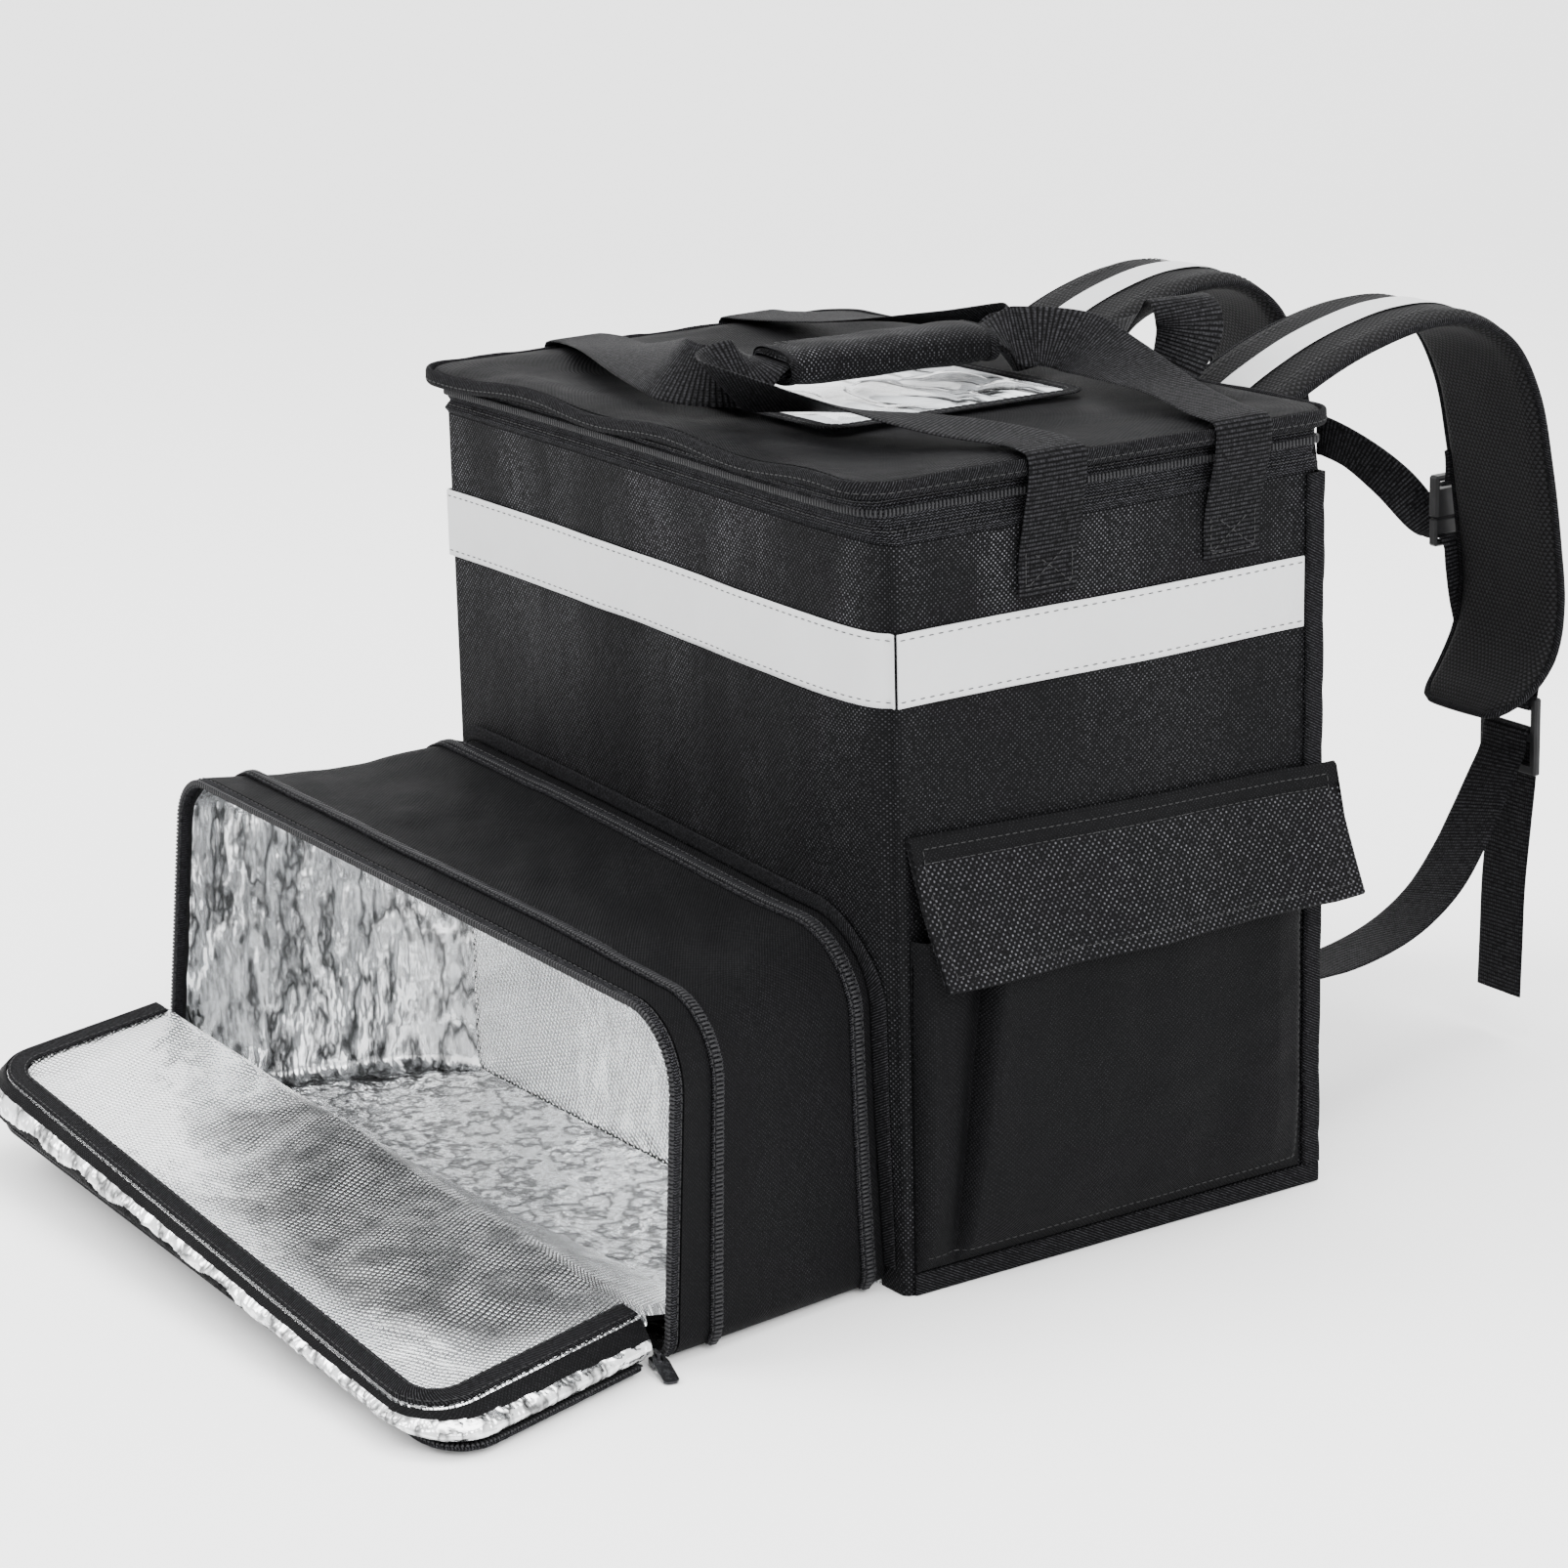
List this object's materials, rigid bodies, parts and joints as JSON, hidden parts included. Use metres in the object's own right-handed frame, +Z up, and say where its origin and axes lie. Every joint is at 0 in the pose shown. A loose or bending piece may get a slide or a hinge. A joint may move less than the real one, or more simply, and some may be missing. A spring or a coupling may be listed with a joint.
{
  "type": "insulated delivery backpack",
  "caption": "Tall black insulated food delivery backpack: zipped lid with a clear pocket, reflective stripes, padded straps, and a foil-lined front compartment folded open.",
  "frame": {"origin": "centre of the main compartment's base, on the surface it stands on", "axes": "+Z up, -Y towards the front with the folded-down food compartment, +X towards the side with the pocket, +Y towards the back with the shoulder straps"},
  "size_m": [0.5557, 0.882, 0.478],
  "materials": {
    "black_cloth": "matt coated polyester, plain weave",
    "black_tape": "ribbed polyester binding tape",
    "zip_black": "woven zip tape with nylon coil teeth",
    "reflective_grey": "silver-grey reflective tape, satin",
    "foil": "bright crumpled foil lining bonded to thin foam",
    "clear_film": "clear soft vinyl, glossy",
    "black_webbing": "ribbed nylon webbing",
    "strap_mesh": "padded strap with open spacer mesh",
    "black_plastic": "moulded acetal, slightly glossy",
    "dark_metal": "black painted zinc, worn satin"
  },
  "bodies": {
    "pack": {"main_body": "black_cloth", "lid": "black_cloth", "handle_grip": "black_cloth", "side_pocket": "black_cloth", "side_flap": "black_cloth", "front_sleeve": "black_cloth", "lid_binding": "black_tape", "window_frame": "black_tape", "back_tape_left": "black_tape", "back_tape_right": "black_tape", "base_tape": "black_tape", "expansion_tape": "black_tape", "panel_binding": "black_tape", "lid_zip_band": "zip_black", "expansion_zip": "zip_black", "seam_zip": "zip_black", "opening_zip": "zip_black", "panel_zip": "zip_black", "stripe_front": "reflective_grey", "stripe_left": "reflective_grey", "stripe_right": "reflective_grey", "strap_stripe_left": "reflective_grey", "strap_stripe_right": "reflective_grey", "front_panel": "foil", "panel_gusset": "foil", "window_film": "clear_film", "handle_left": "black_webbing", "handle_right": "black_webbing", "grab_loop": "black_webbing", "lower_webbing_left": "black_webbing", "lower_webbing_right": "black_webbing", "strap_tab_left": "black_webbing", "strap_tab_right": "black_webbing", "chest_webbing_left": "black_webbing", "chest_webbing_right": "black_webbing", "shoulder_strap_left": "strap_mesh", "shoulder_strap_right": "strap_mesh", "ladder_lock_left": "black_plastic", "ladder_lock_right": "black_plastic", "buckle_socket": "black_plastic", "buckle_plug": "black_plastic", "zip_slider": "dark_metal"},
    "tab": {"pull_tab": "dark_metal"}
  },
  "joints": [
    {"name": "tab_hinge", "type": "hinge", "parent": "pack", "child": "tab", "pos_m": [0.22087, -0.29542, 0.0069], "axis": [0.2419, 0.9703, 0], "range_deg": [-90, 0]}
  ]
}
